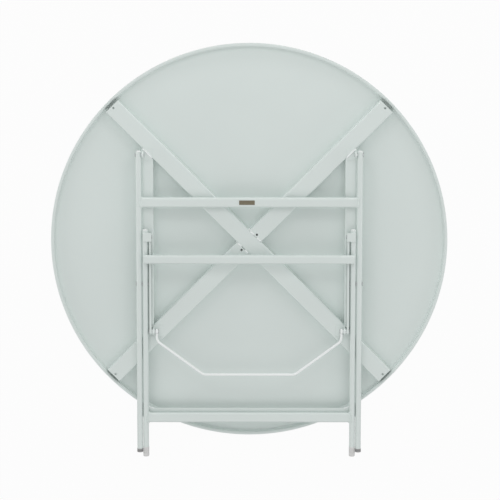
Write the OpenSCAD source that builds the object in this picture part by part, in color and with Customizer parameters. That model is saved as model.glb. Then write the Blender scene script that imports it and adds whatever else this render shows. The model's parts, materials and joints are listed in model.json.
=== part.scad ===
// Round folding table, lying folded on its face with the leg frames uppermost.
// X runs along the hinge line, +Y points towards the hinges and +Z out of the underside.
// The origin is the centre of the top face. Left is -X, right is +X. Millimetres.

/* [Tabletop] */
// Diameter of the top over its rim
top_d = 1174; // [1100:2:1300]
// Thickness of the top sheet
sheet_t = 1.5; // [1:0.1:2.5]
// Thickness of the rim hoop
rim_t = 9.5; // [6:0.5:11]
// Height of the rim's free edge above the top face
rim_h = 15; // [12:0.5:26]
// Rounding of the rim's edges
rim_edge_r = 2; // [1:0.1:2]
// Width of the crossed braces
brace_w = 50; // [40:1:60]
// Depth of the braces and side rails
channel_h = 30; // [24:1:34]
// Wall of the braces and side rails
channel_wall = 2; // [1.5:0.1:2.5]
// Outer corner radius of the braces and side rails
channel_r = 4.5; // [3:0.1:5]
// Gap between a brace's corners and the rim
brace_end_gap = 7; // [4:0.5:12]
// Diameter of the drain holes in the braces
drain_d = 6.5; // [3:0.5:7]
// Distance from a drain hole to the end of its brace
drain_inset = 7; // [6:0.5:12]
// Width of the side rails
rail_w = 34; // [28:1:38]
// Gap between a side rail's outer edge and the outer leg
rail_gap = 0.5; // [0.5:0.5:4]

/* [Legs] */
// Width of the outer frame over its legs
frame_w = 668; // [600:2:680]
// Outer diameter of the leg tubes
tube_d = 17; // [16:0.5:20]
// Wall of the leg tubes and crossbars
tube_wall = 1.5; // [1:0.1:2.5]
// Gap between an outer leg and the inner leg beside it
leg_gap = 1.2; // [1:0.1:2.5]
// Distance of the leg hinge from the centre of the top
hinge_y = 262; // [250:1:275]
// Length of the outer legs from hinge to floor
outer_leg_l = 895; // [870:5:920]
// Length of the inner legs from pivot to floor
inner_leg_l = 524; // [510:1:540]
// Distance from the hinge to the pivot where the legs cross
pivot_drop = 384; // [370:1:395]
// Distance from that pivot to the knee at the top of the inner legs
knee_rise = 140; // [130:1:150]
// Outer leg tube past its hinge
outer_top_over = 8.5; // [8:0.5:12]
// Inner leg tube past its knee
inner_top_over = 20; // [18:0.5:26]
// Height of the domed plugs in the leg tops
dome_h = 4.5; // [3:0.5:8]
// Length of the feet's spigots inside their tubes
spigot_l = 16; // [10:1:24]
// Gap between a top plug's spigot and the pin below it
spigot_gap = 1; // [0.5:0.1:2]
// How far a plug or foot stands proud of its tube
plug_flare = 0.4; // [0.1:0.1:0.4]
// Visible length of the outer feet
outer_foot_l = 11; // [8:1:30]
// Visible length of the inner feet
inner_foot_l = 29; // [10:1:40]
// Rounding of the feet
foot_r = 3; // [1:0.5:5]

/* [Crossbars] */
// Height of the outer crossbar and the lower inner crossbar
bar_h = 30; // [24:1:36]
// Height of the upper inner crossbar
front_bar_h = 27; // [22:1:34]
// Thickness of the crossbars
bar_t = 15; // [12:0.5:16]
// Distance from the hinge to the outer crossbar
outer_bar_drop = 141; // [120:1:160]
// Distance from the leg pivot up to the upper inner crossbar
front_bar_rise = 75; // [60:1:90]
// Distance from the leg pivot down to the lower inner crossbar
lower_bar_drop = 405; // [380:1:430]
// How far the upper inner crossbar reaches past the middle of the inner legs
front_bar_over = 3.7; // [1:0.1:6]
// Bite of the upper inner crossbar into the inner legs
front_bar_bite = 0.4; // [0.2:0.1:0.8]
// Thickness of the two caps in the upper inner crossbar
bar_cap_t = 1.5; // [1:0.1:3]
// Width of the blank label plate
label_w = 46; // [20:1:80]
// Height of the blank label plate
label_h = 13; // [8:1:14]
// Thickness of the blank label plate
label_t = 0.8; // [0.5:0.1:1.5]
// Distance of the label plate's middle to the left of the centre line
label_offset = 6.8; // [0:0.1:40]

/* [Tie plate] */
// Thickness of the tie plate between the outer feet
tie_t = 4.5; // [3:0.5:6]
// Height of the tie plate
tie_h = 26; // [20:1:34]
// Distance from the hinge to the near edge of the tie plate
tie_drop = 763; // [750:1:775]
// Gap between the tie plate and the inner legs
leg_rest_gap = 0.5; // [0.3:0.1:1]
// Width of the flared pad at each end of the tie plate
pad_w = 27; // [24:1:34]
// Rise of the flared pad above the tie plate's near edge
pad_rise = 16; // [8:1:24]
// Depth of the saddle that the outer leg sits in
saddle_h = 3; // [2:0.5:4]

/* [Stay links] */
// Distance of the stay hinge from the centre of the top
stay_y = 266; // [258:1:275]
// Thickness of a stay link
link_t = 6; // [4:0.5:8]
// Width of a stay link
link_w = 15; // [12:0.5:15]
// Radius of the round ends of a stay link
link_end_r = 9; // [9:0.5:12]
// Gap between an inner leg and the stay link beside it
link_gap = 3.2; // [3:0.1:5]
// Thickness of the boss on a link's inner face
link_boss_t = 1.5; // [1:0.1:3]
// Distance of that boss's rim inside the link's round end
link_boss_step = 1; // [0.5:0.1:1.5]
// Gap between the knee block and the stay link
knee_gap = 0.5; // [0.4:0.1:0.8]
// Width of the knee block along an inner leg's top
knee_block_w = 26; // [22:0.5:28]
// Thickness of the knee block above the link's end
knee_block_wall = 2.5; // [2:0.1:4]
// Rounding of the knee block's long edges
knee_block_r = 1.5; // [0.5:0.1:2]
// Distance that the knee block stops short of the inner leg's outer side and underside
knee_block_short = 2; // [1:0.5:4]

/* [Brackets and pins] */
// Thickness of the bracket ears
ear_t = 6; // [4:0.5:8]
// Radius of the bracket ears
ear_r = 10.5; // [9:0.5:13]
// Thickness of the bracket feet
foot_plate_t = 2; // [1.5:0.1:3]
// Least height of the stay links' round ends over the top of the bracket feet
foot_gap = 0.5; // [0.3:0.1:1]
// Width of the bracket feet
foot_plate_w = 30; // [26:1:34]
// Length of the bracket feet
foot_plate_l = 34; // [28:1:40]
// Diameter of the hinge and pivot pins
pin_d = 8; // [6:0.5:9]
// Radial clearance of a pin in the piece that turns on it
pin_play = 0.08; // [0.03:0.01:0.1]
// Radial clearance of a pin in the piece that holds it
pin_seat = 0.02; // [0.01:0.01:0.03]
// Diameter of the pin heads
head_d = 13; // [11:0.5:14]
// Thickness of the pin heads
head_t = 1.5; // [1:0.1:1.5]
// Diameter of the washers
washer_d = 14; // [12:0.5:16]
// End float left beside each turning piece
float_gap = 0.3; // [0.2:0.1:0.5]
// Gap between the hinge bracket's ear and the outer leg
hinge_gap = 1; // [0.8:0.1:2]
// Gap between the stay bracket's ear and the pieces each side of it
stay_gap = 2; // [1.5:0.1:3]

/* [Bail] */
// Diameter of the bail's rod
rod_d = 8; // [6:0.5:9]
// Wall of the bail's eyes round their pins
eye_wall = 4.5; // [3:0.1:4.8]
// Reach of the bail from its pins
bail_reach = 131; // [110:1:140]
// Half width of the bail's straight middle, to the corners of its centre line
bail_half_w = 136; // [120:1:160]
// Length of the bail's arms before they turn inwards
bail_arm_l = 29; // [27:1:36]
// Bend radius of the rod at its centre line
bail_bend_r = 24; // [16:1:26]

/* [Hidden] */
$fn = 96;
paint = [0.83, 0.86, 0.85];
steel = [0.72, 0.73, 0.74];
plastic = [0.76, 0.76, 0.76];
dark_plastic = [0.45, 0.45, 0.45];
bronze = [0.46, 0.42, 0.34];

// Sides of the bail's rod, and steps in each of its bends
rod_sides = 16;
bend_steps = 6;

// Overrun of every cut past the face it opens
cut = 1;
top_r = top_d / 2;
tube_r = tube_d / 2;
channel_top = sheet_t + channel_h;

// Height of every hinge, pivot and knee above the top face
axis_z = channel_top + foot_gap + max(foot_plate_t + link_end_r, ear_r);

// Places along X, of the right-hand side
outer_x = frame_w / 2 - tube_r;
inner_x = outer_x - tube_d - leg_gap;
rail_x = outer_x - tube_r - rail_gap - rail_w / 2;
link_outer_x = inner_x - tube_r - link_gap;
link_inner_x = link_outer_x - link_t;
boss_x = link_inner_x - link_boss_t;
stay_ear_x = boss_x - stay_gap;
bail_x = stay_ear_x - ear_t - stay_gap - rod_d / 2;
hinge_ear_x = outer_x - tube_r - hinge_gap;

// The upper inner crossbar lies on the inner legs and is welded to them
front_bar_z = axis_z + tube_r + bar_t / 2 - front_bar_bite;
front_bar_half_l = inner_x + front_bar_over;

// Places along Y
pivot_y = hinge_y - pivot_drop;
knee_y = pivot_y + knee_rise;
outer_bar_y = hinge_y - outer_bar_drop;
front_bar_y = pivot_y + front_bar_rise;
lower_bar_y = pivot_y - lower_bar_drop;
tie_y = hinge_y - tie_drop;
outer_foot_y = hinge_y - outer_leg_l;
inner_foot_y = pivot_y - inner_leg_l;

// A brace reaches this far from the centre, so that its corners keep their gap to the rim
brace_reach = sqrt(pow(top_r - rim_t - brace_end_gap, 2) - pow(brace_w / 2, 2));
// A side rail's outer edge meets the brace here
rail_reach = rail_x + rail_w / 2 - brace_w / sqrt(2);

// Mirrors a right-hand piece to the left where side is -1
module on_side(side) {
    if (side < 0)
        mirror([1, 0, 0]) children();
    else
        children();
}

// Round bar along X between two places, at a place along Y on the hinge axis height
module bar_x(d, x0, x1, y) {
    translate([x0, y, axis_z])
        rotate([0, 90, 0])
            cylinder(d = d, h = x1 - x0);
}

// Round bar along Y between two places, at a place along X on the hinge axis height
module bar_y(d, y0, y1, x) {
    translate([x, y1, axis_z])
        rotate([90, 0, 0])
            cylinder(d = d, h = y1 - y0);
}

// Rectangle with round corners, from the origin
module round_rect(w, h, r) {
    translate([r, 0])
        square([w - 2 * r, h]);
    translate([0, r])
        square([w, h - 2 * r]);
    for (x = [r, w - r], y = [r, h - r])
        translate([x, y])
            circle(r = r);
}

// Section of the finished edge of the top: sheet and hoop together
module rim_section() {
    translate([top_r - rim_t, 0])
        round_rect(rim_t, rim_h, rim_edge_r);
    square([top_r - rim_t / 2, sheet_t]);
}

module top_sheet() {
    color(paint)
        rotate_extrude($fn = 256)
            intersection() {
                rim_section();
                square([top_d, sheet_t]);
            }
}

module rim_hoop() {
    color(paint)
        rotate_extrude($fn = 256)
            difference() {
                rim_section();
                translate([-cut, -cut])
                    square([top_d, sheet_t + cut]);
            }
}

// Channel section, open at the bottom, with its middle on the Y axis
module channel_section(w) {
    difference() {
        union() {
            translate([-w / 2, 0])
                square([w, channel_h - channel_r]);
            translate([-w / 2 + channel_r, 0])
                square([w - 2 * channel_r, channel_h]);
            for (side = [-1, 1])
                translate([side * (w / 2 - channel_r), channel_h - channel_r])
                    circle(r = channel_r);
        }
        translate([-w / 2 + channel_wall, -cut])
            square([w - 2 * channel_wall, channel_h - channel_wall + cut]);
    }
}

// Channel that lies on the sheet, along +X from one place to another
module channel(w, x0, x1) {
    translate([x0, 0, sheet_t])
        rotate([90, 0, 90])
            linear_extrude(x1 - x0)
                channel_section(w);
}

// Brace along +X from x0 to x1, with a drain hole near each end that is named
module brace(x0, x1, holes) {
    difference() {
        channel(brace_w, x0, x1);
        for (x = holes)
            translate([x, 0, channel_top - channel_wall - cut])
                cylinder(d = drain_d, h = channel_wall + 2 * cut);
    }
}

module brace_long() {
    hole = brace_reach - drain_inset;
    color(paint)
        rotate([0, 0, -45])
            brace(-brace_reach, brace_reach, [-hole, hole]);
}

// Half brace that butts against the long one, turned about the centre
module brace_half(turn) {
    start = brace_w / 2;
    color(paint)
        rotate([0, 0, turn])
            brace(start, brace_reach, [start + drain_inset, brace_reach - drain_inset]);
}

// Rail under the inner leg, mitred against the braces at both ends
module side_rail(side) {
    color(paint)
        on_side(side)
            difference() {
                translate([rail_x, 0, 0])
                    rotate([0, 0, 90])
                        channel(rail_w, -rail_reach, rail_reach);
                for (turn = [-45, 45])
                    rotate([0, 0, turn])
                        translate([0, -brace_w / 2, 0])
                            cube([top_r, brace_w, channel_top + cut]);
            }
}

// Bracket with a flat foot on the channels and a round ear for its pin
module bracket(ear_x, foot_x, y) {
    difference() {
        union() {
            translate([foot_x, y - foot_plate_l / 2, channel_top])
                cube([foot_plate_w, foot_plate_l, foot_plate_t]);
            translate([ear_x, y - ear_r, channel_top])
                cube([ear_t, 2 * ear_r, axis_z - channel_top]);
            bar_x(2 * ear_r, ear_x, ear_x + ear_t, y);
        }
        bar_x(pin_d + 2 * pin_seat, ear_x - cut, ear_x + ear_t + cut, y);
    }
}

// Round washer along X with a bore
module washer(x0, t, y, bore_d) {
    difference() {
        bar_x(washer_d, x0, x0 + t, y);
        bar_x(bore_d, x0 - cut, x0 + t + cut, y);
    }
}

module hinge_bracket(side) {
    color(paint)
        on_side(side)
            bracket(hinge_ear_x - ear_t, hinge_ear_x - foot_plate_w, hinge_y);
}

module hinge_pin(side) {
    inner = hinge_ear_x - ear_t;
    outer = outer_x + tube_r + float_gap;
    color(steel)
        on_side(side) {
            bar_x(head_d, inner - head_t, inner, hinge_y);
            bar_x(pin_d, inner, outer, hinge_y);
            bar_x(head_d, outer, outer + head_t, hinge_y);
        }
}

module hinge_washers() {
    color(steel)
        for (side = [-1, 1])
            on_side(side)
                washer(hinge_ear_x, hinge_gap - float_gap, hinge_y, pin_d + 2 * pin_seat);
}

module stay_bracket(side) {
    color(paint)
        on_side(side)
            bracket(stay_ear_x - ear_t, stay_ear_x - foot_plate_w, -stay_y);
}

module stay_pin(side) {
    inner = bail_x - rod_d / 2 - float_gap;
    outer = link_outer_x + float_gap;
    color(steel)
        on_side(side) {
            bar_x(head_d, inner - head_t, inner, -stay_y);
            bar_x(pin_d, inner, outer, -stay_y);
            bar_x(head_d, outer, outer + head_t, -stay_y);
        }
}

module stay_washers() {
    t = stay_gap - float_gap;
    color(steel)
        for (side = [-1, 1], x0 = [stay_ear_x, stay_ear_x - ear_t - t])
            on_side(side)
                washer(x0, t, -stay_y, pin_d + 2 * pin_seat);
}

// Leg tube with its pin holes, each given as [place along Y, hole diameter]
module leg_tube(x, y0, y1, holes) {
    difference() {
        bar_y(tube_d, y0, y1, x);
        bar_y(tube_d - 2 * tube_wall, y0 - cut, y1 + cut, x);
        for (hole = holes)
            bar_x(hole[1], x - tube_r - cut, x + tube_r + cut, hole[0]);
    }
}

module outer_leg(side) {
    color(paint)
        on_side(side)
            leg_tube(outer_x, outer_foot_y + outer_foot_l, hinge_y + outer_top_over,
                [[hinge_y, pin_d + 2 * pin_play], [pivot_y, pin_d + 2 * pin_seat]]);
}

module inner_leg(side) {
    color(paint)
        on_side(side)
            leg_tube(inner_x, inner_foot_y + inner_foot_l, knee_y + inner_top_over,
                [[pivot_y, pin_d + 2 * pin_seat], [knee_y, pin_d + 2 * pin_seat]]);
}

// Flat-sided oval, long way along X
module oval(long, short) {
    square([long - short, short], center = true);
    for (side = [-1, 1])
        translate([side * (long - short) / 2, 0])
            circle(d = short);
}

// Hollow crossbar of oval section along X
module oval_bar(h, half_l, y, z) {
    translate([-half_l, y, z])
        rotate([90, 0, 90])
            linear_extrude(2 * half_l)
                difference() {
                    oval(h, bar_t);
                    oval(h - 2 * tube_wall, bar_t - 2 * tube_wall);
                }
}

// Solid legs to cope a crossbar's ends against
module leg_cut(x, y0, y1) {
    for (side = [-1, 1])
        on_side(side)
            bar_y(tube_d, y0, y1, x);
}

module outer_crossbar() {
    color(paint)
        difference() {
            oval_bar(bar_h, outer_x, outer_bar_y, axis_z);
            leg_cut(outer_x, outer_bar_y - bar_h, outer_bar_y + bar_h);
        }
}

module label_plate() {
    color(bronze)
        translate([-label_offset - label_w / 2, outer_bar_y - label_h / 2, axis_z + bar_t / 2])
            cube([label_w, label_h, label_t]);
}

// Outline of the right half of the tie plate, flared with a round fillet at its end
module tie_outline() {
    end_x = outer_x + tube_r / 2;
    pad_x = end_x - pad_w;
    translate([0, tie_y - tie_h])
        square([end_x, tie_h]);
    translate([pad_x, tie_y - tie_h])
        square([pad_w, tie_h + pad_rise]);
    difference() {
        translate([pad_x - pad_rise, tie_y - tie_h])
            square([pad_rise, tie_h + pad_rise]);
        translate([pad_x - pad_rise, tie_y + pad_rise])
            circle(r = pad_rise);
    }
}

module outer_tie_plate() {
    saddle_x = inner_x + tube_r + leg_gap;
    plate_z = axis_z - tube_r - leg_rest_gap - tie_t;
    color(paint)
        for (side = [-1, 1])
            on_side(side)
                difference() {
                    union() {
                        translate([0, 0, plate_z])
                            linear_extrude(tie_t)
                                tie_outline();
                        translate([saddle_x, tie_y - tie_h, plate_z + tie_t])
                            cube([outer_x + tube_r / 2 - saddle_x, tie_h + pad_rise, saddle_h]);
                    }
                    bar_y(tube_d, tie_y - 2 * tie_h, tie_y + 2 * pad_rise, outer_x);
                }
}

// Domed plug in a tube's top end, which is this far past the tube's pin at pin_y
module top_plug(x, pin_y, over) {
    plug_r = tube_r + plug_flare;
    bore_r = tube_r - tube_wall - pin_seat;
    dome_r = (plug_r * plug_r / dome_h + dome_h) / 2;
    spigot = over - pin_d / 2 - spigot_gap;
    translate([x, pin_y + over, axis_z])
        rotate([-90, 0, 0])
            rotate_extrude() {
                intersection() {
                    translate([0, dome_h - dome_r])
                        circle(r = dome_r);
                    square([plug_r, dome_h]);
                }
                translate([0, -spigot])
                    square([bore_r, spigot]);
            }
}

module outer_top_plug(side) {
    color(paint)
        on_side(side)
            top_plug(outer_x, hinge_y, outer_top_over);
}

module inner_top_plug(side) {
    color(paint)
        on_side(side)
            top_plug(inner_x, knee_y, inner_top_over);
}

// Foot that plugs a tube's lower end, from y down to the floor end
module foot(x, y, l) {
    foot_outer_r = tube_r + plug_flare;
    bore_r = tube_r - tube_wall - pin_seat;
    translate([x, y, axis_z])
        rotate([90, 0, 0])
            rotate_extrude() {
                square([foot_outer_r, l - foot_r]);
                square([foot_outer_r - foot_r, l]);
                translate([foot_outer_r - foot_r, l - foot_r])
                    circle(r = foot_r);
                translate([0, -spigot_l])
                    square([bore_r, spigot_l]);
            }
}

module outer_foot(side) {
    color(dark_plastic)
        on_side(side)
            foot(outer_x, outer_foot_y + outer_foot_l, outer_foot_l);
}

module inner_foot(side) {
    color(plastic)
        on_side(side)
            foot(inner_x, inner_foot_y + inner_foot_l, inner_foot_l);
}

module pivot_rivet(side) {
    inner = inner_x + tube_r + float_gap;
    outer = outer_x + tube_r;
    color(steel)
        on_side(side) {
            bar_x(pin_d, inner, outer, pivot_y);
            bar_x(head_d, outer, outer + head_t, pivot_y);
        }
}

module pivot_washers() {
    t = leg_gap - float_gap;
    color(steel)
        for (side = [-1, 1])
            on_side(side)
                washer(outer_x - tube_r - t, t, pivot_y, pin_d + 2 * pin_seat);
}

module pivot_stud(side) {
    inner = inner_x - tube_r;
    color(steel)
        on_side(side) {
            bar_x(head_d, inner - head_t, inner, pivot_y);
            bar_x(pin_d, inner, inner_x + tube_r, pivot_y);
        }
}

module inner_crossbar_upper() {
    color(paint)
        difference() {
            oval_bar(front_bar_h, front_bar_half_l - bar_cap_t, front_bar_y, front_bar_z);
            leg_cut(inner_x, front_bar_y - front_bar_h, front_bar_y + front_bar_h);
        }
}

module front_bar_caps() {
    color(paint)
        difference() {
            for (side = [-1, 1])
                on_side(side)
                    translate([front_bar_half_l - bar_cap_t, front_bar_y, front_bar_z])
                        rotate([90, 0, 90])
                            linear_extrude(bar_cap_t)
                                oval(front_bar_h, bar_t);
            leg_cut(inner_x, front_bar_y - front_bar_h, front_bar_y + front_bar_h);
        }
}

module inner_crossbar_lower() {
    color(paint)
        difference() {
            oval_bar(bar_h, inner_x, lower_bar_y, axis_z);
            leg_cut(inner_x, lower_bar_y - bar_h, lower_bar_y + bar_h);
        }
}

// Block welded round the inner leg's top, with a lip over the stay link's end
module knee_block(side) {
    low = tube_r - knee_block_short;
    lip_z = link_end_r + knee_gap;
    high = lip_z + knee_block_wall;
    color(paint)
        on_side(side)
            difference() {
                translate([boss_x, knee_y - knee_block_w / 2, axis_z - low])
                    rotate([90, 0, 90])
                        linear_extrude(inner_x + tube_r - knee_block_short - boss_x)
                            round_rect(knee_block_w, low + high, knee_block_r);
                translate([boss_x - cut, knee_y - knee_block_w, axis_z - low - cut])
                    cube([link_outer_x + knee_gap - boss_x + cut, 2 * knee_block_w, low + lip_z + cut]);
                translate([inner_x, knee_y - knee_block_w, axis_z - low - cut])
                    cube([tube_d, 2 * knee_block_w, low + cut]);
                bar_y(tube_d, knee_y - knee_block_w, knee_y + knee_block_w, inner_x);
                bar_x(pin_d + 2 * pin_seat, link_outer_x, inner_x, knee_y);
            }
}

module knee_pin(side) {
    inner = boss_x - float_gap;
    color(steel)
        on_side(side) {
            bar_x(head_d, inner - head_t, inner, knee_y);
            bar_x(pin_d, inner, inner_x + tube_r, knee_y);
        }
}

// Link between the knee and the stay bracket, bored at both ends
module stay_link(side) {
    color(paint)
        on_side(side)
            difference() {
                union() {
                    translate([link_inner_x, -stay_y, axis_z - link_w / 2])
                        cube([link_t, knee_y + stay_y, link_w]);
                    for (y = [-stay_y, knee_y]) {
                        bar_x(2 * link_end_r, link_inner_x, link_outer_x, y);
                        bar_x(2 * (link_end_r - link_boss_step), boss_x, link_outer_x, y);
                    }
                }
                for (y = [-stay_y, knee_y])
                    bar_x(pin_d + 2 * pin_play, boss_x - cut, link_outer_x + cut, y);
            }
}

// Stations of the bail's right bend about a centre, as [x, y, angle of the outward normal]
function bend(centre, from, to) = [
    for (i = [0 : bend_steps])
        let (a = from + (to - from) * i / bend_steps)
            [centre.x + bail_bend_r * cos(a), centre.y + bail_bend_r * sin(a), a]
];

// Stations of the right half of the rod, from its eye to the last bend
function bail_stations() =
    let (
        slope = atan((bail_reach - bail_arm_l) / (bail_x - bail_half_w)),
        tangent_a = bail_bend_r * tan((90 - slope) / 2),
        tangent_b = bail_bend_r * tan(slope / 2),
        centre_a = [bail_x - bail_bend_r, -stay_y - bail_arm_l + tangent_a],
        centre_b = [bail_half_w - tangent_b, -stay_y - bail_reach + bail_bend_r]
    )
    concat(
        [[bail_x, -stay_y - rod_d, 0]],
        bend(centre_a, 0, slope - 90),
        bend(centre_b, slope - 90, -90)
    );

// Points of one ring of the rod round a station
function rod_ring(s) = [
    for (k = [0 : rod_sides - 1])
        let (
            out = rod_d / 2 * cos(360 * k / rod_sides),
            up = rod_d / 2 * sin(360 * k / rod_sides)
        )
            [s[0] + out * cos(s[2]), s[1] + out * sin(s[2]), axis_z + up]
];

// The bail's rod from the right eye to the left one
module bail_rod() {
    right = bail_stations();
    last = len(right) - 1;
    left = [for (i = [last : -1 : 0]) [-right[i][0], right[i][1], 180 - right[i][2]]];
    stations = concat(right, left);
    rings = len(stations);
    n = rod_sides;
    polyhedron(
        points = [for (s = stations) each rod_ring(s)],
        faces = concat(
            [[for (k = [0 : n - 1]) k]],
            [for (i = [0 : rings - 2], k = [0 : n - 1])
                let (a = i * n + k, b = i * n + (k + 1) % n)
                    [a, a + n, b + n, b]],
            [[for (k = [n - 1 : -1 : 0]) (rings - 1) * n + k]]
        )
    );
}

module lock_bail() {
    eye_d = pin_d + 2 * pin_play + 2 * eye_wall;
    color(paint)
        difference() {
            union() {
                bail_rod();
                for (side = [-1, 1])
                    on_side(side)
                        bar_x(eye_d, bail_x - rod_d / 2, bail_x + rod_d / 2, -stay_y);
            }
            for (side = [-1, 1])
                on_side(side)
                    bar_x(pin_d + 2 * pin_play, bail_x - rod_d, bail_x + rod_d, -stay_y);
        }
}

top_sheet();
rim_hoop();
brace_long();
brace_half(45);  // brace_half_upper
brace_half(225);  // brace_half_lower
side_rail(-1);  // side_rail_left
side_rail(1);  // side_rail_right
hinge_bracket(-1);  // hinge_bracket_left
hinge_bracket(1);  // hinge_bracket_right
hinge_pin(-1);  // hinge_pin_left
hinge_pin(1);  // hinge_pin_right
hinge_washers();
stay_bracket(-1);  // stay_bracket_left
stay_bracket(1);  // stay_bracket_right
stay_pin(-1);  // stay_pin_left
stay_pin(1);  // stay_pin_right
stay_washers();
outer_leg(-1);  // outer_leg_left
outer_leg(1);  // outer_leg_right
outer_crossbar();
label_plate();
outer_tie_plate();
outer_top_plug(-1);  // outer_top_plug_left
outer_top_plug(1);  // outer_top_plug_right
outer_foot(-1);  // outer_foot_left
outer_foot(1);  // outer_foot_right
pivot_rivet(-1);  // pivot_rivet_left
pivot_rivet(1);  // pivot_rivet_right
pivot_washers();
pivot_stud(-1);  // pivot_stud_left
pivot_stud(1);  // pivot_stud_right
inner_leg(-1);  // inner_leg_left
inner_leg(1);  // inner_leg_right
inner_crossbar_upper();
front_bar_caps();
inner_crossbar_lower();
inner_top_plug(-1);  // inner_top_plug_left
inner_top_plug(1);  // inner_top_plug_right
inner_foot(-1);  // inner_foot_left
inner_foot(1);  // inner_foot_right
knee_block(-1);  // knee_block_left
knee_block(1);  // knee_block_right
knee_pin(-1);  // knee_pin_left
knee_pin(1);  // knee_pin_right
stay_link(-1);  // stay_link_left
stay_link(1);  // stay_link_right
lock_bail();
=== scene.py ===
# Round folding table, folded flat and lying on its top with the underside up
import json
import math

import bmesh
import bpy
from mathutils import Matrix, Vector


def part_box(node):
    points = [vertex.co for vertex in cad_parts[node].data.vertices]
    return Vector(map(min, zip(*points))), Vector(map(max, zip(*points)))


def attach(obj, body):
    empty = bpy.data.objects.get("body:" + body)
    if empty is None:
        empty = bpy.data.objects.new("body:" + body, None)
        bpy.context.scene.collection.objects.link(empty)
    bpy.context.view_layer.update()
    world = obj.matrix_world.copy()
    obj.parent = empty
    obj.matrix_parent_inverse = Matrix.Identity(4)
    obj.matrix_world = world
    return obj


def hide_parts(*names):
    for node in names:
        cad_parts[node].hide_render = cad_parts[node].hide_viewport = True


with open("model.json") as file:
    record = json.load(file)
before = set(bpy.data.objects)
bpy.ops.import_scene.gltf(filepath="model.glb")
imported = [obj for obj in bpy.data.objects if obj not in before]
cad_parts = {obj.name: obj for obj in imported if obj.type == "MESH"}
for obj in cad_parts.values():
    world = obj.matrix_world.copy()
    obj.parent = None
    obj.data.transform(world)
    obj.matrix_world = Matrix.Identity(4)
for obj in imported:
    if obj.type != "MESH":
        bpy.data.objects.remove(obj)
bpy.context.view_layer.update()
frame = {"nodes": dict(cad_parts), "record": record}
nodes = frame["nodes"]
legLow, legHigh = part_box("outer_leg_right")
axisZ = (legLow.z + legHigh.z) / 2  # height of the middle of the legs, crossbars and bail
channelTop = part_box("brace_long")[1].z
print("frame loaded,", len(nodes), "nodes")


shot = {
    "place": (0.0013, 1.1449, 7.1422),
    "tilt": -9.327,
    "roll": 0.05,
    "lens": 175.5,
    "sensor": 36,
}


def setCamera():
    lens = bpy.data.cameras.new("photoLens")
    lens.lens = shot["lens"]
    lens.sensor_width = shot["sensor"]
    camera = bpy.data.objects.new("photoCamera", lens)
    camera.location = shot["place"]
    camera.rotation_euler = (math.radians(shot["tilt"]), 0, math.radians(shot["roll"]))
    bpy.context.scene.collection.objects.link(camera)
    bpy.context.scene.camera = camera


# A socket that is used like a number: each step of the maths adds a Math node
class Wire:
    def __init__(self, tree, socket):
        self.tree = tree
        self.socket = socket

    def maths(self, operation, other):
        node = self.tree.nodes.new("ShaderNodeMath")
        node.operation = operation
        self.tree.links.new(self.socket, node.inputs[0])
        if isinstance(other, Wire):
            self.tree.links.new(other.socket, node.inputs[1])
        else:
            node.inputs[1].default_value = other
        return Wire(self.tree, node.outputs[0])

    def __add__(self, other):
        return self.maths("ADD", other)

    def __mul__(self, other):
        return self.maths("MULTIPLY", other)

    __radd__ = __add__
    __rmul__ = __mul__

    def largest(self, other):
        return self.maths("MAXIMUM", other)


# A material or world and its nodes
class Recipe:
    def __init__(self, owner):
        self.owner = owner
        owner.use_nodes = True
        self.tree = owner.node_tree
        self.tree.nodes.clear()

    # One node: its settings first, then the values or links of its sockets
    def add(self, kind, settings=None, values=None, output=0):
        node = self.tree.nodes.new(kind)
        for key, value in (settings or {}).items():
            setattr(node, key, value)
        for key, value in (values or {}).items():
            if isinstance(value, Wire):
                self.tree.links.new(value.socket, node.inputs[key])
            else:
                node.inputs[key].default_value = value
        return Wire(self.tree, node.outputs[output]) if node.outputs else None

    def noise(self, place, scale, detail, roughness=0.5):
        values = {"Vector": place, "Scale": scale, "Detail": detail, "Roughness": roughness}
        return self.add("ShaderNodeTexNoise", values=values)

    # A value that goes from low to high while another goes from start to end
    def ranged(self, value, start, end, low=0, high=1):
        values = {"Value": value, "From Min": start, "From Max": end, "To Min": low, "To Max": high}
        return self.add("ShaderNodeMapRange", values=values)

    def blend(self, amount, first, second):  # by the sockets that a Mix node has for colours
        values = {0: amount, 6: first, 7: second}
        return self.add("ShaderNodeMix", {"data_type": "RGBA"}, values, output=2)

    def finish(self, surface, kind="ShaderNodeOutputMaterial"):
        self.add(kind, values={"Surface": surface})
        return self.owner


studio = {
    "floorSize": 14,
    "floorDrop": 0.0005,
    "floorColour": (0.5, 0.5, 0.5, 1),
    "floorWhite": 0.96,  # how much of the floor is plain white to the camera
    "worldColour": (1, 1, 1, 1),
    "worldLight": 0.51,  # its strength where it isn't seen directly
    # the lamps stand in pairs: this is the place of the right one, which the left one mirrors
    "lamps": {
        "key": {"place": (1.0, 1.6, 1.45), "size": (1.8, 1.8), "power": 3.4},
        "spark": {"place": (1.1, 1.65, 1.5), "size": (0.5, 0.5), "power": 2.8},
        "far": {"place": (0.9, 3.4, 0.75), "size": (1.6, 0.5), "power": 9},
        "side": {"place": (2.3, -0.1, 0.45), "size": (1.6, 0.4), "power": 5},
        "near": {"place": (0.9, -2.4, 3.0), "size": (3.2, 2.8), "power": 12.5},
    },
}


def seenDirectly(recipe):  # 1 for rays that show the background itself
    camera, glossy, transmission = [
        recipe.add("ShaderNodeLightPath", output=name)
        for name in ("Is Camera Ray", "Is Glossy Ray", "Is Transmission Ray")
    ]
    return camera.largest(glossy).largest(transmission)


def softbox(name, place, lamp):  # turned to the middle of the table
    light = bpy.data.lights.new(name, "AREA")
    light.shape = "RECTANGLE"
    light.size, light.size_y = lamp["size"]
    light.energy = lamp["power"]
    box = bpy.data.objects.new(name, light)
    box.location = place
    box.rotation_euler = Vector(place).to_track_quat("Z", "Y").to_euler()
    bpy.context.scene.collection.objects.link(box)


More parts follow.
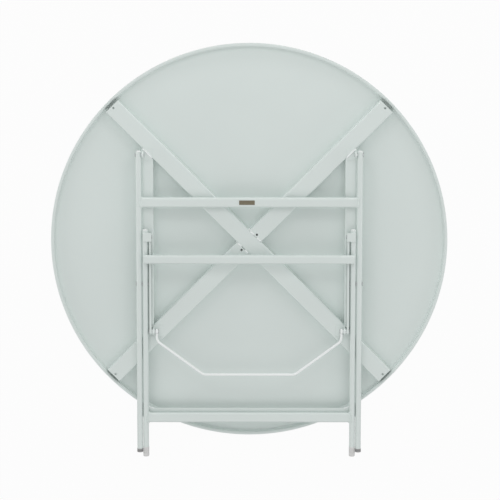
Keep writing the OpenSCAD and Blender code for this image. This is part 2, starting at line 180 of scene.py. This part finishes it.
def setStudio():
    bm = bmesh.new()
    bmesh.ops.create_grid(
        bm,
        x_segments=1,
        y_segments=1,
        size=studio["floorSize"] / 2,
        matrix=Matrix.Translation((0, 0, -studio["floorDrop"])),
    )
    mesh = bpy.data.meshes.new("floor")
    bm.to_mesh(mesh)
    bm.free()
    floor = bpy.data.objects.new("floor", mesh)
    bpy.context.scene.collection.objects.link(floor)
    recipe = Recipe(bpy.data.materials.new("paleFloor"))
    surface = recipe.add(
        "ShaderNodeMixShader",
        values={
            0: seenDirectly(recipe) * studio["floorWhite"],
            1: recipe.add("ShaderNodeBsdfDiffuse", values={"Color": studio["floorColour"]}),
            2: recipe.add("ShaderNodeEmission", values={"Strength": 1}),
        },
    )
    mesh.materials.append(recipe.finish(surface))

    world = bpy.data.worlds.new("studioWorld")
    bpy.context.scene.world = world
    recipe = Recipe(world)
    strength = seenDirectly(recipe) * (1 - studio["worldLight"]) + studio["worldLight"]
    values = {"Color": studio["worldColour"], "Strength": strength}
    recipe.finish(recipe.add("ShaderNodeBackground", values=values), "ShaderNodeOutputWorld")

    for stem, lamp in studio["lamps"].items():
        across, along, height = lamp["place"]
        softbox(stem + "Left", (-across, along, height), lamp)
        softbox(stem + "Right", (across, along, height), lamp)


setCamera()
setStudio()
bpy.context.scene.view_settings.view_transform = "Standard"
print("camera, floor and light set")


def tint(red, green, blue):  # screen values of 0-255 to the linear colour of a node
    def linear(value):
        value /= 255
        return value / 12.92 if value <= 0.04045 else ((value + 0.055) / 1.055) ** 2.4

    return (linear(red), linear(green), linear(blue), 1)


def shade(colour, *factors):  # lighter or darker, by one factor or by three
    if len(factors) == 1:
        factors *= 3
    return tuple(min(1, channel * factor) for channel, factor in zip(colour, factors)) + (1,)


paintLook = {
    "cloud": {"scale": 2.6, "detail": 3},
    "pale": 1.03,
    "deep": 0.955,
    "smear": {"scale": 14, "detail": 5, "roughness": 0.65},
    "smearMap": {"Scale": (1, 6, 1), "Rotation": (0, 0, 0.5)},
    "smearSpan": (0.35, 0.75),
    "smearSmooth": 0.02,  # how far the smears take the roughness down and up
    "smearRough": 0.03,
    "nib": {"Scale": 260, "Randomness": 1},  # specks of dust that the coat has covered
    "nibSpan": (0.10, 0.02),  # none and all of one, by the distance from its middle
    "nibPatches": (0.60, 0.70),
    "nibShade": 0.6,
    "nibAmount": 0.25,
    "nibHeight": 0.5,
    "peel": {"scale": 520, "detail": 2},
    "peelBump": {"Strength": 0.6, "Distance": 0.00003},
    "wave": {"scale": 5, "detail": 1},
    "waveBump": {"Strength": 0.5, "Distance": 0.0002},
    "coatRoughness": 0.14,
}


def powderCoat(name, colour, roughness, coat=0.0):
    look = paintLook
    recipe = Recipe(bpy.data.materials.new(name))
    place = recipe.add("ShaderNodeTexCoord", output="Object")
    cloud = recipe.noise(place, **look["cloud"])
    peel = recipe.noise(place, **look["peel"])
    wave = recipe.noise(place, **look["wave"])
    stretched = recipe.add("ShaderNodeMapping", values={"Vector": place, **look["smearMap"]})
    smear = recipe.noise(stretched, **look["smear"])
    nib = recipe.add("ShaderNodeTexVoronoi", values={"Vector": place, **look["nib"]})
    nibMask = recipe.ranged(nib, *look["nibSpan"])
    speck = nibMask * recipe.ranged(smear, *look["nibPatches"]) * look["nibAmount"]
    tone = recipe.blend(cloud, shade(colour, look["deep"]), shade(colour, look["pale"]))
    waviness = recipe.add("ShaderNodeBump", values={"Height": wave, **look["waveBump"]})
    rough = peel + nibMask * look["nibHeight"]
    grain = recipe.add(
        "ShaderNodeBump", values={"Height": rough, "Normal": waviness, **look["peelBump"]}
    )
    low, high = roughness - look["smearSmooth"], roughness + look["smearRough"]
    surface = recipe.add(
        "ShaderNodeBsdfPrincipled",
        values={
            "Base Color": recipe.blend(speck, tone, shade(colour, look["nibShade"])),
            "Roughness": recipe.ranged(smear, *look["smearSpan"], low, high),
            "Normal": grain,
            "Coat Weight": coat,
            "Coat Roughness": look["coatRoughness"],
        },
    )
    return recipe.finish(surface)


plasticLook = {
    "cloud": {"scale": 60, "detail": 4},
    "cloudShade": 0.86,
    "cloudRough": 0.12,  # from the smoothest to the roughest place
    "grain": {"scale": 900, "detail": 3},
    "grainBump": {"Strength": 0.5, "Distance": 0.0001},
}


def mouldedPlastic(name, colour, roughness):
    look = plasticLook
    recipe = Recipe(bpy.data.materials.new(name))
    place = recipe.add("ShaderNodeTexCoord", output="Object")
    cloud = recipe.noise(place, **look["cloud"])
    grain = recipe.noise(place, **look["grain"])
    surface = recipe.add(
        "ShaderNodeBsdfPrincipled",
        values={
            "Base Color": recipe.blend(cloud, shade(colour, look["cloudShade"]), colour),
            "Roughness": cloud * look["cloudRough"] + (roughness - look["cloudRough"] / 2),
            "Normal": recipe.add("ShaderNodeBump", values={"Height": grain, **look["grainBump"]}),
        },
    )
    return recipe.finish(surface)


# Fine lines along X, as a value and as a bump
def drawnLines(recipe, place, look):
    drawn = recipe.add("ShaderNodeMapping", values={"Vector": place, "Scale": look["drawn"]})
    lines = recipe.noise(drawn, **look["lines"])
    return lines, recipe.add("ShaderNodeBump", values={"Height": lines, **look["linesBump"]})


steelLook = {
    "drawn": (90, 1500, 1500),
    "lines": {"scale": 1, "detail": 3},
    "linesBump": {"Strength": 0.35, "Distance": 0.00004},
    "linesRough": 0.2,
    "bloom": {"scale": 160, "detail": 4},
    "bloomShade": 0.72,
    "bloomRough": 0.1,
    "metal": 1,
}


def platedSteel(name, colour, roughness):
    look = steelLook
    recipe = Recipe(bpy.data.materials.new(name))
    place = recipe.add("ShaderNodeTexCoord", output="Object")
    lines, bump = drawnLines(recipe, place, look)
    bloom = recipe.noise(place, **look["bloom"])
    smoothest = roughness - (look["linesRough"] + look["bloomRough"]) / 2
    surface = recipe.add(
        "ShaderNodeBsdfPrincipled",
        values={
            "Base Color": recipe.blend(bloom, shade(colour, look["bloomShade"]), colour),
            "Metallic": look["metal"],
            "Roughness": lines * look["linesRough"] + bloom * look["bloomRough"] + smoothest,
            "Normal": bump,
        },
    )
    return recipe.finish(surface)


bronzeLook = {
    "drawn": (30, 900, 900),
    "lines": {"scale": 1, "detail": 4},
    "linesBump": {"Strength": 0.4, "Distance": 0.00005},
    "linesRough": 0.2,
    "patina": {"scale": 140, "detail": 5},
    "patinaShade": 0.62,
    "patinaWarmth": (1.18, 1.1, 0.95),
    "metal": 0.35,
}


def bronzePlate(name, colour, roughness):
    look = bronzeLook
    recipe = Recipe(bpy.data.materials.new(name))
    place = recipe.add("ShaderNodeTexCoord", output="Object")
    lines, bump = drawnLines(recipe, place, look)
    patina = recipe.noise(place, **look["patina"])
    dark, warm = shade(colour, look["patinaShade"]), shade(colour, *look["patinaWarmth"])
    surface = recipe.add(
        "ShaderNodeBsdfPrincipled",
        values={
            "Base Color": recipe.blend(patina, dark, warm),
            "Metallic": look["metal"],
            "Roughness": lines * look["linesRough"] + (roughness - look["linesRough"] / 2),
            "Normal": bump,
        },
    )
    return recipe.finish(surface)


finishes = {
    "top": powderCoat("coatTop", tint(224, 233, 230), 0.42),
    "frame": powderCoat("coatFrame", tint(224, 233, 230), 0.3, coat=0.5),
    # the rod coat is painted whiter than the frame's, as painted highlight: the bail and the weld
    # beads that take it show painted glints
    "rod": powderCoat("rodCoatPaintedHighlight", tint(248, 252, 251), 0.2, coat=1.0),
    "end_plug": mouldedPlastic("plugPlastic", tint(243, 247, 246), 0.2),
    "light_plastic": mouldedPlastic("footPlasticLight", tint(232, 232, 231), 0.5),
    "dark_plastic": mouldedPlastic("footPlasticDark", tint(160, 160, 160), 0.55),
    "steel": platedSteel("zincSteel", tint(200, 203, 204), 0.36),
    "plate": bronzePlate("plainPlate", tint(120, 115, 99), 0.42),
}
slotOf = {part["node"]: part["material_slot"] for part in frame["record"]["subparts"]}
bodyOf = {
    name: body
    for body, members in frame["record"]["behaviour"]["bodies"].items()
    for name in members
}
for name, node in nodes.items():
    node.data.materials.clear()
    node.data.materials.append(finishes[slotOf[name]])
print("finishes made:", len(finishes))


meshing = {
    "sharpAngle": math.radians(38),
    "flatAngle": 0.01,
    "mergeGap": 0.000005,
    "cadGap": 0.00001,  # for the loose triangles of a CAD node
    "spunGap": 0.000002,  # for the poles of a spun profile
    "edgeSteps": 3,
    "cornerSteps": 6,
}


# Turns a finished bmesh into a piece that rides on a body and stands for CAD nodes
def makePiece(bm, name, slotName, body, replaced=()):
    bmesh.ops.remove_doubles(bm, verts=bm.verts, dist=meshing["mergeGap"])
    bmesh.ops.recalc_face_normals(bm, faces=bm.faces)
    for edge in bm.edges:
        flat = len(edge.link_faces) == 2 and edge.calc_face_angle(0) < meshing["sharpAngle"]
        edge.smooth = flat
    for face in bm.faces:
        face.smooth = True
    mesh = bpy.data.meshes.new(name)
    bm.to_mesh(mesh)
    bm.free()
    piece = bpy.data.objects.new(name, mesh)
    bpy.context.scene.collection.objects.link(piece)
    mesh.materials.append(finishes[slotName])
    weighted = piece.modifiers.new("evenNormals", "WEIGHTED_NORMAL")
    weighted.keep_sharp = True
    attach(piece, body)
    if replaced:
        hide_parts(*replaced)


# A copy of a CAD node with its sharp outer edges rounded
def soften(name, width):
    bm = bmesh.new()
    bm.from_mesh(nodes[name].data)
    bmesh.ops.remove_doubles(bm, verts=bm.verts, dist=meshing["cadGap"])
    bmesh.ops.dissolve_limit(bm, angle_limit=meshing["flatAngle"], verts=bm.verts, edges=bm.edges)
    joined = [edge for edge in bm.edges if len(edge.link_faces) == 2 and edge.is_convex]
    bmesh.ops.bevel(
        bm,
        geom=[edge for edge in joined if edge.calc_face_angle(0) > meshing["sharpAngle"]],
        offset=width,
        segments=meshing["edgeSteps"],
        profile=0.5,
        affect="EDGES",
        material=-1,
        clamp_overlap=True,
    )
    makePiece(bm, name + "_soft", slotOf[name], bodyOf[name], [name])


# A half profile of (radius, height) corners, some of them rounded, spun about +Z
def lathe(bm, corners, rounding, steps):
    chain = [bm.verts.new((radius, 0, height)) for radius, height in corners]
    for start, end in zip(chain, chain[1:]):
        bm.edges.new((start, end))
    for place, radius in rounding.items():
        bmesh.ops.bevel(
            bm,
            geom=[chain[place]],
            offset=radius,
            segments=meshing["cornerSteps"],
            profile=0.5,
            affect="VERTICES",
            material=-1,
        )
    bmesh.ops.spin(
        bm,
        geom=list(bm.verts) + list(bm.edges),
        cent=(0, 0, 0),
        axis=(0, 0, 1),
        angle=2 * math.pi,
        steps=steps,
        use_merge=True,
    )
    bmesh.ops.remove_doubles(bm, verts=bm.verts, dist=meshing["spunGap"])


# Extrudes a face and moves the new one by a matrix. The old one stays, as an end or inside
def pushFace(bm, face, move):
    made = bmesh.ops.extrude_face_region(bm, geom=[face])["geom"]
    verts = [part for part in made if isinstance(part, bmesh.types.BMVert)]
    bmesh.ops.transform(bm, matrix=move, verts=verts)
    return next(part for part in made if isinstance(part, bmesh.types.BMFace))


topForm = {
    "steps": 384,
    "outerRounding": 0.0019,
    "lipRounding": 0.0045,
    "fillet": 0.003,
    "wall": 0.0095,
    "edgeRing": 0.012,  # an extra ring of points this far in from the edge
    "middleRing": 0.5,  # and one at this share of the radius
}


def makeTop():
    low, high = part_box("rim_hoop")
    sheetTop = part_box("top_sheet")[1].z
    radius, height = min(high.x, -low.x), high.z
    inner = radius - topForm["wall"]
    middle = radius * topForm["middleRing"]
    bm = bmesh.new()
    corners = [
        (0, 0),
        (middle, 0),
        (radius - topForm["edgeRing"], 0),
        (radius, 0),
        (radius, height),
        (inner, height),
        (inner, sheetTop),
        (inner - topForm["edgeRing"], sheetTop),
        (middle, sheetTop),
        (0, sheetTop),
    ]
    edge = topForm["outerRounding"]
    rounding = {3: edge, 4: edge, 5: topForm["lipRounding"], 6: topForm["fillet"]}
    lathe(bm, corners, rounding, topForm["steps"])
    makePiece(bm, "rolled_top", "top", "tabletop", ["top_sheet", "rim_hoop"])


makeTop()
print("top made")


bailForm = {
    "rod": 0.004,
    "sides": 20,
    "bend": 0.024,
    "bendSteps": 10,
    "armStart": 0.0066,
    "armLength": 0.029,
    "reach": 0.131,
    "halfWidth": 0.136,
    "eyeX": 0.2741,
    "pinY": -0.266,
    "eyeInner": 0.0042,
    "eyeOuter": 0.0085,
    "eyeHalfWidth": 0.0038,
    "eyeSteps": 40,
}


# A rod with four bends and an eye at each end
def makeBail():
    form = bailForm
    corners = [
        Vector((form["eyeX"], form["pinY"] - form["armStart"], axisZ)),
        Vector((form["eyeX"], form["pinY"] - form["armLength"], axisZ)),
        Vector((form["halfWidth"], form["pinY"] - form["reach"], axisZ)),
    ]
    corners += [Vector((-corner.x, corner.y, axisZ)) for corner in reversed(corners)]
    bm = bmesh.new()
    bmesh.ops.create_circle(
        bm,
        cap_ends=True,
        segments=form["sides"],
        radius=form["rod"],
        matrix=Matrix.Translation(corners[0]) @ Matrix.Rotation(math.pi / 2, 4, "X"),
    )
    bm.faces.ensure_lookup_table()
    face = bm.faces[0]
    place = corners[0]
    for before, corner, after in zip(corners, corners[1:], corners[2:]):
        into = (corner - before).normalized()
        out = (after - corner).normalized()
        turn = math.atan2(into.cross(out).z, into.dot(out))
        setback = form["bend"] * math.tan(abs(turn) / 2)
        bendStart = corner - into * setback
        face = pushFace(bm, face, Matrix.Translation(bendStart - place))
        side = Vector((-into.y, into.x, 0)) * math.copysign(1, turn)
        made = bmesh.ops.spin(
            bm,
            geom=[face] + list(face.verts) + list(face.edges),
            cent=bendStart + side * form["bend"],
            axis=(0, 0, 1),
            angle=turn,
            steps=form["bendSteps"],
        )
        face = next(part for part in made["geom_last"] if isinstance(part, bmesh.types.BMFace))
        place = corner + out * setback
    pushFace(bm, face, Matrix.Translation(corners[-1] - place))
    for side in (-1, 1):
        addEye(bm, side)
    # the rod's whitened coat gives the bail painted highlights
    makePiece(bm, "bail_rod", "rod", "lock_bail", ["lock_bail"])


# A flattened ring round the stay pin, at one end of the rod
def addEye(bm, side):
    form = bailForm
    centre = Vector((side * form["eyeX"], form["pinY"], axisZ))
    middle = (form["eyeInner"] + form["eyeOuter"]) / 2
    thick = (form["eyeOuter"] - form["eyeInner"]) / 2
    section = Matrix.Diagonal((form["eyeHalfWidth"], thick, 1, 1))
    ring = bmesh.ops.create_circle(
        bm,
        segments=form["sides"],
        radius=1,
        matrix=Matrix.Translation(centre + Vector((0, middle, 0))) @ section,
    )["verts"]
    bmesh.ops.spin(
        bm,
        geom=ring + [edge for edge in bm.edges if edge.verts[0] in ring],
        cent=centre,
        axis=(1, 0, 0),
        angle=2 * math.pi,
        steps=form["eyeSteps"],
        use_merge=True,
    )


makeBail()
print("bail made")


# How far the edges of each node are rounded: the left and right ones, then the single ones
pairEdges = {
    "hinge_bracket": 0.0012,
    "stay_bracket": 0.0012,
    "hinge_pin": 0.001,
    "stay_pin": 0.001,
    "pivot_rivet": 0.001,
    "pivot_stud": 0.001,
    "knee_pin": 0.001,
    "knee_block": 0.0011,
    "stay_link": 0.0012,
}
singleEdges = {
    "label_plate": 0.0003,
    "outer_tie_plate": 0.0009,
    "front_bar_caps": 0.0006,
}
for stem, width in pairEdges.items():
    for side in ("_left", "_right"):
        soften(stem + side, width)
for name, width in singleEdges.items():
    soften(name, width)
print("edges softened")


beadForm = {
    "sides": 8,
    "ripple": 0.16,
    "pitch": 0.0022,
    "stepsPerPitch": 3,
    "endSize": 0.45,
    "endGrowth": 0.2,  # at each step from the end, up to the full size
}


# A weld bead along corners, with a ripple at each pitch and tapered ends
def sweepBead(bm, corners, radius):
    form = beadForm
    spacing = form["pitch"] / form["stepsPerPitch"]
    stations = []
    for start, end in zip(corners, corners[1:]):
        count = max(1, round((end - start).length / spacing))
        stations += [start.lerp(end, step / count) for step in range(count)]
    stations.append(corners[-1])
    last = len(stations) - 1
    face = None
    previous = None
    for number, spot in enumerate(stations):
        ahead = stations[min(number + 1, last)] - stations[max(number - 1, 0)]
        swell = 1 + form["ripple"] * math.sin(2 * math.pi * number / form["stepsPerPitch"])
        taper = min(1, form["endSize"] + form["endGrowth"] * min(number, last - number))
        turn = ahead.to_track_quat("Z", "Y").to_matrix().to_4x4()
        here = Matrix.Translation(spot) @ turn @ Matrix.Diagonal([radius * swell * taper] * 3 + [1])
        if face is None:
            bmesh.ops.create_circle(bm, cap_ends=True, segments=form["sides"], radius=1, matrix=here)
            bm.faces.ensure_lookup_table()
            face = bm.faces[-1]
        else:
            face = pushFace(bm, face, here @ previous.inverted())
        previous = here


braceWelds = {
    "half": 0.025,  # half the width of a brace
    "topBead": 0.0028,
    "topSink": 0.0012,  # how far its middle is below the brace's top
    "topSpan": (0.007, 0.0215),  # from the middle of the half brace
    "cornerBead": 0.0026,
    "cornerStart": 0.003,  # the height of its lower end
    "cornerSink": 0.0035,  # how far its upper end is below the brace's top
    "offJoint": 0.0005,  # how far a bead's middle is outside the joint
    "offWall": 0.0004,  # and outside the side of the half brace
    "railInset": 0.003,
    "bracketFoot": 0.002,  # the thickness of the hinge bracket's foot
    "footSink": 0.0004,
}


# Where the half braces butt against the long one, and where the side rails meet the braces
def makeBraceWelds():
    form = braceWelds
    bm = bmesh.new()
    half, top = form["half"], channelTop - form["topSink"]
    along = half + form["offJoint"]
    for degrees in (45, 225):
        turn = Matrix.Rotation(math.radians(degrees), 4, "Z")
        for side in (-1, 1):
            ends = [turn @ Vector((along, side * across, top)) for across in form["topSpan"]]
            sweepBead(bm, ends, form["topBead"])
            across = side * (half + form["offWall"])
            heights = (form["cornerStart"], channelTop - form["cornerSink"])
            ends = [turn @ Vector((along, across, height)) for height in heights]
            sweepBead(bm, ends, form["cornerBead"])
    railLow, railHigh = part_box("side_rail_right")
    bracketTop = channelTop + form["bracketFoot"] - form["footSink"]
    for xSide in (-1, 1):
        for ySide, height in ((-1, top), (1, bracketTop)):
            ends = [
                Vector((xSide * x, ySide * (x - half * math.sqrt(2) + form["offJoint"]), height))
                for x in (railLow.x + form["railInset"], railHigh.x - form["railInset"])
            ]
            sweepBead(bm, ends, form["topBead"])
    # the beads take the rod's whitened coat: painted glints along the joints
    makePiece(bm, "brace_welds", "rod", "tabletop")


barWelds = {
    "bars": {
        "outer_bar_welds": {"x": 0.3255, "y": 0.121, "body": "outer_frame"},
        "lower_bar_welds": {"x": 0.3073, "y": -0.527, "body": "inner_frame"},
    },
    "tube": 0.0085,  # the radius of a leg
    "barHalf": 0.0075,  # half the thickness of the bar, a flat oval
    "barFlat": 0.0075,  # half the width of the oval's flat sides
    "bead": 0.0027,
    "overhang": 0.25,  # how far it goes past the bar's widest places, in radians
    "steps": 24,
}


def makeBarWelds():  # over the upper side of each crossbar, at both of its ends
    form = barWelds
    half, flat = form["barHalf"], form["barFlat"]
    sweep = math.pi + 2 * form["overhang"]
    for name, bar in form["bars"].items():
        bm = bmesh.new()
        for side in (-1, 1):
            corners = []
            for number in range(form["steps"] + 1):
                angle = sweep * number / form["steps"] - form["overhang"]
                y = math.copysign(flat, math.cos(angle)) + half * math.cos(angle)
                z = half * math.sin(angle)
                x = bar["x"] - math.sqrt(form["tube"] ** 2 - z**2)
                corners.append(Vector((side * x, bar["y"] + y, axisZ + z)))
            sweepBead(bm, corners, form["bead"])
        makePiece(bm, name, "frame", bar["body"])


tieWelds = {
    "centre": (0.28675, -0.485),
    "radius": 0.016,
    "start": -102,
    "end": -32,
    "height": 0.0332,
    "bead": 0.0024,
    "steps": 12,
}


def makeTieWelds():  # along the hollow where the tie plate flares out to the legs
    form = tieWelds
    sweep = form["end"] - form["start"]
    bm = bmesh.new()
    for side in (-1, 1):
        corners = []
        for number in range(form["steps"] + 1):
            angle = math.radians(form["start"] + sweep * number / form["steps"])
            x = form["centre"][0] + form["radius"] * math.cos(angle)
            y = form["centre"][1] + form["radius"] * math.sin(angle)
            corners.append(Vector((side * x, y, form["height"])))
        sweepBead(bm, corners, form["bead"])
    # the beads take the rod's whitened coat: a painted glint on the flare
    makePiece(bm, "tie_welds", "rod", "outer_frame")


makeBraceWelds()
makeBarWelds()
makeTieWelds()
print("welds made")


footForm = {
    "outer": {"grooves": (0.0045,), "rounding": 0.002},
    "inner": {"grooves": (0.005, 0.0105, 0.016), "rounding": 0.003},
    "grooveWidth": 0.0014,
    "grooveDepth": 0.0009,
    "spigotRadius": 0.00698,
    "spigotLength": 0.016,
    "steps": 64,
}


# A ribbed foot: its height runs along +Y from the tube's end, with the spigot above
def makeFoot(name):
    low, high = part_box(name)
    kind = footForm[name.split("_")[0]]
    radius = (high.x - low.x) / 2
    tubeEnd = high.y - footForm["spigotLength"]
    length = tubeEnd - low.y
    corners = [
        (0, footForm["spigotLength"]),
        (footForm["spigotRadius"], footForm["spigotLength"]),
        (footForm["spigotRadius"], 0),
        (radius, 0),
    ]
    deep = radius - footForm["grooveDepth"]
    for place in kind["grooves"]:
        after = place + footForm["grooveWidth"]
        corners += [(radius, -place), (deep, -place), (deep, -after), (radius, -after)]
    corners += [(radius, -length), (0, -length)]
    bm = bmesh.new()
    lathe(bm, corners, {len(corners) - 2: kind["rounding"]}, footForm["steps"])
    middle = Vector(((low.x + high.x) / 2, tubeEnd, (low.z + high.z) / 2))
    turn = Matrix.Rotation(-math.pi / 2, 4, "X")
    bmesh.ops.transform(bm, matrix=Matrix.Translation(middle) @ turn, verts=bm.verts)
    makePiece(bm, name + "_ribbed", slotOf[name], bodyOf[name], [name])


for footName in [name for name in nodes if "_foot_" in name]:
    makeFoot(footName)
print("feet made")
